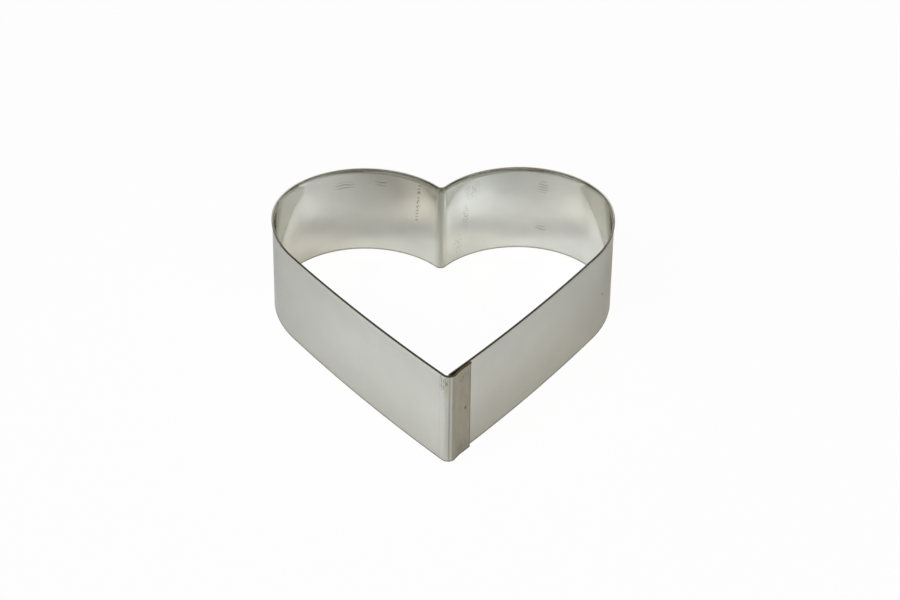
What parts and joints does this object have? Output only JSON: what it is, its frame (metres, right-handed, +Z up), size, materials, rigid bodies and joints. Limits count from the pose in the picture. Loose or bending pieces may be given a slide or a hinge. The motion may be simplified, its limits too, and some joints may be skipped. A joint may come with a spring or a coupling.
{
  "type": "heart cake ring",
  "caption": "Heart-shaped open ring of bent stainless strip with a lapped, spot-welded point, for baking, layering and shaping cakes.",
  "frame": {"origin": "middle of the outline's box, on the plane of the foot", "axes": "+X across the lobes to the right, +Y from the point to the notch, +Z up from the foot to the rim"},
  "size_m": [0.1402, 0.1502, 0.04],
  "materials": {
    "band_steel": "satin stainless sheet with a fine grain",
    "weld_steel": "darkened weld metal"
  },
  "bodies": {
    "root": {"heart_band": "band_steel", "spot_weld_upper": "weld_steel", "spot_weld_middle": "weld_steel", "spot_weld_lower": "weld_steel"}
  },
  "joints": []
}
